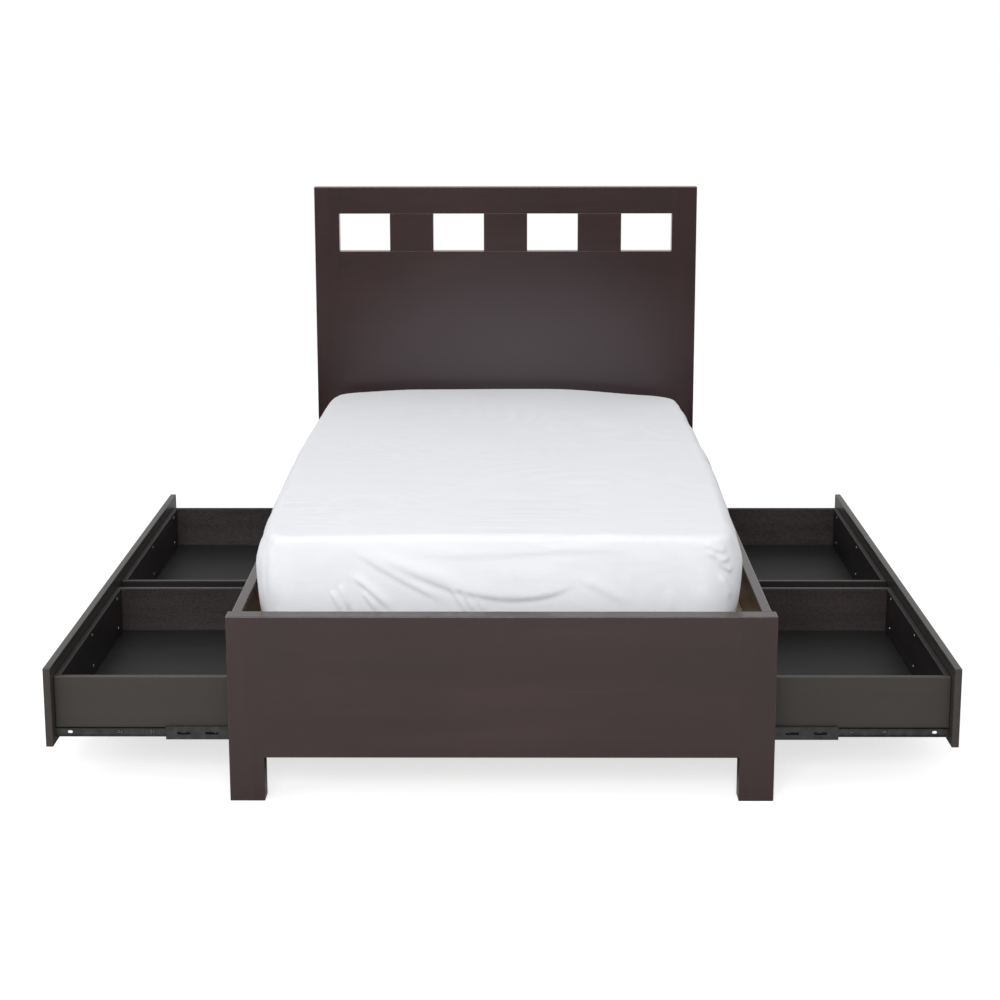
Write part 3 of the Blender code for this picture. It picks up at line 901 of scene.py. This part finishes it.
# Folds on the foot face as (x, z) knots, width, height, edge and taper, all in metres.
FOOT_FOLDS = [
    ([(-0.243, 0.484), (-0.185, 0.455), (-0.120, 0.421), (-0.042, 0.404), (0.016, 0.399),
      (0.062, 0.402), (0.107, 0.411), (0.153, 0.432)], 0.034, 0.0052, 0.0022, 0.25),
    ([(-0.309, 0.502), (-0.256, 0.471), (-0.198, 0.435), (-0.159, 0.415), (-0.108, 0.387)],
     0.016, 0.0045, 0.0022, 0.30),
    ([(-0.290, 0.506), (-0.220, 0.478), (-0.150, 0.454), (-0.070, 0.440)],
     0.013, 0.0028, 0.0, 0.35),
    ([(-0.305, 0.448), (-0.264, 0.414), (-0.219, 0.370)], 0.012, 0.0058, 0.0018, 0.30),
    ([(-0.345, 0.414), (-0.336, 0.397), (-0.323, 0.366)], 0.007, 0.0060, 0.0016, 0.35),
    ([(-0.328, 0.430), (-0.317, 0.401), (-0.305, 0.366)], 0.008, 0.0075, 0.0016, 0.35),
    ([(-0.283, 0.414), (-0.267, 0.394), (-0.250, 0.366)], 0.008, 0.0062, 0.0016, 0.35),
    ([(-0.107, 0.421), (-0.091, 0.401), (-0.072, 0.366)], 0.007, 0.0050, 0.0016, 0.30),
    ([(-0.081, 0.415), (-0.069, 0.394), (-0.052, 0.366)], 0.007, 0.0050, 0.0016, 0.30),
    ([(-0.055, 0.404), (-0.046, 0.390), (-0.034, 0.366)], 0.006, 0.0045, 0.0016, 0.35),
    ([(-0.211, 0.505), (-0.133, 0.487), (-0.029, 0.484), (0.094, 0.499), (0.191, 0.493),
      (0.256, 0.487)], 0.016, 0.0018, 0.0024, 0.30),
    ([(-0.090, 0.458), (0.016, 0.450), (0.080, 0.448), (0.150, 0.448)], 0.020, 0.0022, 0.0, 0.40),
    ([(0.153, 0.438), (0.198, 0.417), (0.257, 0.380)], 0.016, 0.0030, 0.0035, 0.35),
    ([(0.328, 0.422), (0.338, 0.397), (0.343, 0.366)], 0.010, 0.0018, 0.0, 0.40),
    ([(0.395, 0.430), (0.400, 0.400), (0.402, 0.366)], 0.012, 0.0015, 0.0, 0.40),
    ([(0.402, 0.512), (0.424, 0.500), (0.450, 0.490)], 0.007, 0.0085, 0.0020, 0.25),
    ([(0.406, 0.499), (0.430, 0.482), (0.456, 0.473)], 0.008, 0.0100, 0.0020, 0.25),
    ([(0.424, 0.481), (0.442, 0.463), (0.460, 0.447)], 0.008, 0.0090, 0.0020, 0.25),
    ([(0.430, 0.447), (0.446, 0.420), (0.455, 0.392)], 0.010, 0.0060, 0.0024, 0.30),
    ([(-0.474, 0.499), (-0.483, 0.448), (-0.476, 0.380)], 0.008, 0.0042, 0.0, 0.30),
    ([(-0.460, 0.510), (-0.464, 0.455), (-0.464, 0.372)], 0.008, 0.0036, 0.0, 0.30),
    ([(-0.448, 0.474), (-0.451, 0.421), (-0.454, 0.372)], 0.007, 0.0026, 0.0, 0.40),
]


def seeded_folds(seed, count, low, high, drop, tallest):
    """Loose hanging folds for the faces out of the main view, from a fixed seed.

    Each runs from near the top edge down and sideways by a random slant.
    """
    chance = np.random.default_rng(seed)
    folds = []
    for _ in range(count):
        start = chance.uniform(low, high)
        slant = chance.uniform(-0.14, 0.14)
        top = chance.uniform(0.43, 0.50)
        bottom = top - chance.uniform(0.4, 1.0) * drop
        width = chance.uniform(0.018, 0.032)
        knots = [(start, top), (start + 0.4 * slant, (top + bottom) / 2), (start + slant, bottom)]
        folds.append((knots, width, chance.uniform(0.3, 1.0) * tallest, 0.0035, 0.35))
    return folds


def fold_height(across, level, folds):
    """The folds of one face summed: across is the place along the face, level the height."""
    flat = np.stack([across, level], axis=1)
    return sum(stroke(flat, *fold) for fold in folds)


def wander(x, y, seed, size, count=9):
    """Smooth unevenness: a sum of sine waves of random direction, about `size` metres long."""
    chance = np.random.default_rng(seed)
    angle = chance.uniform(0.0, np.pi, count)
    pitch = 2.0 * np.pi / (size * chance.uniform(0.7, 1.6, count))
    phase = chance.uniform(0.0, 2.0 * np.pi, count)
    waves = np.sin(pitch * (np.outer(x, np.cos(angle)) + np.outer(y, np.sin(angle))) + phase)
    return waves.sum(axis=1) / count ** 0.5


RIPPLE_PITCH = 0.072       # level ripples across the top
PUCKER_PITCH = 0.052       # puckers fanning out at the right foot corner
PUCKER_FOCUS = (0.62, -0.93)


def sheet_relief(points, normal, out, run):
    """How far the sheet stands off its smooth shape, in metres, along the normal.

    Foot, head and side faces each carry their folds, weighted by how far the outline faces their
    way; the top has long level ripples that close up towards the right foot corner.
    """
    x, y, z = points.T
    below = smooth_step(-z, -0.535, -0.505)
    foot = smooth_step(-out[:, 1], 0.35, 0.85) * (run >= 0)
    head = smooth_step(out[:, 1], 0.35, 0.85) * (run >= 0)
    right = smooth_step(out[:, 0], 0.35, 0.85) * (run >= 0)
    left = smooth_step(-out[:, 0], 0.35, 0.85) * (run >= 0)
    relief = foot * fold_height(x, z, FOOT_FOLDS)
    relief += right * fold_height(y, z, seeded_folds(4, 22, -0.88, 0.86, 0.18, 0.0055)) * below
    relief += left * fold_height(y, z, seeded_folds(9, 20, -0.86, 0.86, 0.18, 0.0050)) * below
    relief += head * fold_height(x, z, seeded_folds(6, 12, -0.42, 0.42, 0.18, 0.0050)) * below
    facing = normal[:, 2]
    top = smooth_step(facing, 0.6, 0.95)
    relief += 0.0011 * wander(x, y, 2, 0.42) * top + 0.0009 * wander(x + y, z, 5, 0.16) * (1 - top)
    ripple = np.sin(2 * np.pi * (y + 0.012 * wander(x, y, 3, 0.5)) / RIPPLE_PITCH)
    relief += 0.0005 * ripple * smooth_step(wander(x, y, 8, 0.6), -0.3, 0.8) * top
    fan = np.hypot(x - PUCKER_FOCUS[0], y - PUCKER_FOCUS[1])
    corner = np.exp(-((x - 0.40) / 0.085) ** 2 - ((y + 0.62) / 0.22) ** 2)
    relief += 0.0022 * np.sin(2 * np.pi * (fan + 0.25 * y) / PUCKER_PITCH) * corner * top
    return relief


def hanging_shape(points, out, share):
    """Belly the sides out, widest at WIDEST and drawn in to the top edge and the hem.

    With rise = z - widest, the long sides move out by -5.3 rise^2 above and -1.1 rise^2 below;
    the foot and head faces by -130 rise^4 above and -0.3 rise^2 below.  Both long sides also bow
    by 0.018 sin(pi t^0.85), t running from foot to head.
    """
    rise = points[:, 2] - WIDEST
    above, below = np.maximum(rise, 0.0), np.minimum(rise, 0.0)
    end = smooth_step(np.abs(out[:, 1]), 0.25, 0.95)
    belly = (1.0 - end) * (-5.3 * above ** 2 - 1.1 * below ** 2)
    belly += end * (-130.0 * above ** 4 - 0.3 * below ** 2)
    t = np.clip((points[:, 1] - SHEET_FOOT) / (SHEET_HEAD - SHEET_FOOT), 0.0, 1.0)
    bow = 0.018 * np.sin(np.pi * t ** 0.85) * smooth_step(np.abs(out[:, 0]), 0.3, 1.0)
    moved = points.copy()
    moved[:, :2] += out * ((belly + bow) * share)[:, None]
    return moved


def shell_normals(points, faces):
    """Unit normals at the points: the summed cross products of their quads' diagonals."""
    corners = points[faces]
    cross = np.cross(corners[:, 2] - corners[:, 0], corners[:, 3] - corners[:, 1])
    normal = np.zeros_like(points)
    for k in range(4):
        np.add.at(normal, faces[:, k], cross)
    return normal / np.maximum(np.linalg.norm(normal, axis=1), 1e-12)[:, None]


def build_mattress():
    """The padded core in its ticking, and the fitted sheet stretched over it."""
    core_points, core_normal, core_out, core_run, core_share, core_faces = soft_box(
        CORE_COUNTS, CORE_INSET, CORE_TUCK)
    core_points = hanging_shape(core_points, core_out, core_share)
    piping = sum(np.exp(-((core_run - seam) / 0.006) ** 2) for seam in PIPING)
    core_points += core_normal * (0.002 * piping)[:, None]
    rim_count = 2 * (CORE_COUNTS[0] + CORE_COUNTS[1])
    last_ring = len(core_points) - rim_count + np.arange(rim_count)
    faces = [tuple(face) for face in core_faces] + [tuple(last_ring)]
    core = add_piece("mattress_core", core_points, faces, TICKING)
    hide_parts("mattress")
    points, normal, out, run, share, faces = soft_box(SHEET_COUNTS, 0.0, HEM_TUCK)
    shaped = hanging_shape(points, out, share)
    shaped += shell_normals(shaped, faces) * sheet_relief(shaped, normal, out, run)[:, None]
    sheet = add_piece("fitted_sheet", shaped, faces, SHEET_COTTON)
    wall = sheet.modifiers.new("cloth_thickness", "SOLIDIFY")
    wall.thickness = CLOTH_THICKNESS
    wall.offset = -1.0
    for piece in (core, sheet):
        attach(piece, "mattress")


# ------------------------------------------------------------------ camera, light and floor

FOCAL_RATIO = 2.1252       # focal length over sensor width
SENSOR = 36.0
CAMERA_PLACE = (0.02537, -5.08345, 1.51581)
CAMERA_PITCH = 0.21876
CAMERA_YAW = 0.00692
CAMERA_ROLL = -0.00142


def build_camera():
    data = bpy.data.cameras.new("studio_camera")
    data.sensor_width = SENSOR
    data.lens = FOCAL_RATIO * SENSOR
    camera = bpy.data.objects.new("studio_camera", data)
    bpy.context.scene.collection.objects.link(camera)
    camera.matrix_world = (Matrix.Translation(CAMERA_PLACE) @ Matrix.Rotation(CAMERA_YAW, 4, "Z")
                           @ Matrix.Rotation(np.pi / 2 - CAMERA_PITCH, 4, "X")
                           @ Matrix.Rotation(CAMERA_ROLL, 4, "Z"))
    bpy.context.scene.camera = camera


def add_softbox(name, place, aim, size, watts):
    data = bpy.data.lights.new(name, "AREA")
    data.shape = "RECTANGLE"
    data.size, data.size_y = size
    data.energy = watts
    light = bpy.data.objects.new(name, data)
    bpy.context.scene.collection.objects.link(light)
    direction = Vector(aim) - Vector(place)
    light.matrix_world = (Matrix.Translation(place)
                          @ direction.to_track_quat("-Z", "Y").to_matrix().to_4x4())


FLOOR_RADIUS = 5.0
FLOOR_SIDES = 96
DOME_HIGH = 0.60           # strength of the dome up high
DOME_FRONT = 0.34          # and near the ground, in front
DOME_BEHIND = 1.00         # and near the ground, behind
SOFTBOXES = {              # place, aim, size, watts
    "over_softbox": ((0.0, -0.3, 3.6), (0.0, -0.3, 0.4), (3.0, 3.0), 21.0),
    "front_softbox": ((-0.5, -6.2, 3.1), (0.0, 0.0, 0.4), (3.2, 2.2), 225.0),
    "left_softbox": ((-3.8, -3.2, 2.6), (0.0, -0.4, 0.4), (2.5, 2.0), 40.0),
}


def build_world():
    """White all round to look at; as light it is a soft dome, bright low behind, dim low in front.

    With low going from 1 to 0 as the direction's z goes from 0.05 to 0.30, and behind from 0 to 1
    as its y goes from -0.3 to 0.3, the strength is
    high + low * (front + (behind_strength - front) * behind - high).
    """
    world = bpy.data.worlds.new("studio_dome")
    bpy.context.scene.world = world
    made = NodeMaker(world)
    generated = made.node("ShaderNodeTexCoord", output="Generated")
    direction = made.node("ShaderNodeSeparateXYZ", inputs={"Vector": generated})
    outputs = direction.socket.node.outputs
    low = 1.0 - Value(made, outputs["Z"]).clamped(0.05, 0.30)
    behind = Value(made, outputs["Y"]).clamped(-0.3, 0.3)
    strength = low * (behind * (DOME_BEHIND - DOME_FRONT) - (DOME_HIGH - DOME_FRONT)) + DOME_HIGH
    seen = made.node("ShaderNodeLightPath", output="Is Camera Ray")
    background = made.nodes["Background"].inputs
    made.links.new(seen.maths("MAXIMUM", strength).socket, background["Strength"])
    background["Color"].default_value = (1.0, 1.0, 1.0, 1.0)


def build_floor():
    """A round of pale paper: radius * (cos t, sin t) for t over one turn."""
    turn = np.linspace(0.0, 2.0 * np.pi, FLOOR_SIDES, endpoint=False)
    rim = FLOOR_RADIUS * np.stack([np.cos(turn), np.sin(turn), 0.0 * turn], axis=1)
    floor = add_piece("studio_floor", rim, [tuple(range(FLOOR_SIDES))], backdrop_paper(),
                      smooth=False)


def build_studio():
    build_world()
    build_floor()
    for name, (place, aim, size, watts) in SOFTBOXES.items():
        add_softbox(name, place, aim, size, watts)
    bpy.context.scene.view_settings.view_transform = "Standard"


build_camera()
build_frame_boards()
finish_hidden_boards()
for side_name, side_sign in SIDES.items():
    build_drawer(side_name, side_sign)
    sub_front_screws(side_name, side_sign)
    build_slides(side_name, side_sign)
build_mattress()
build_studio()
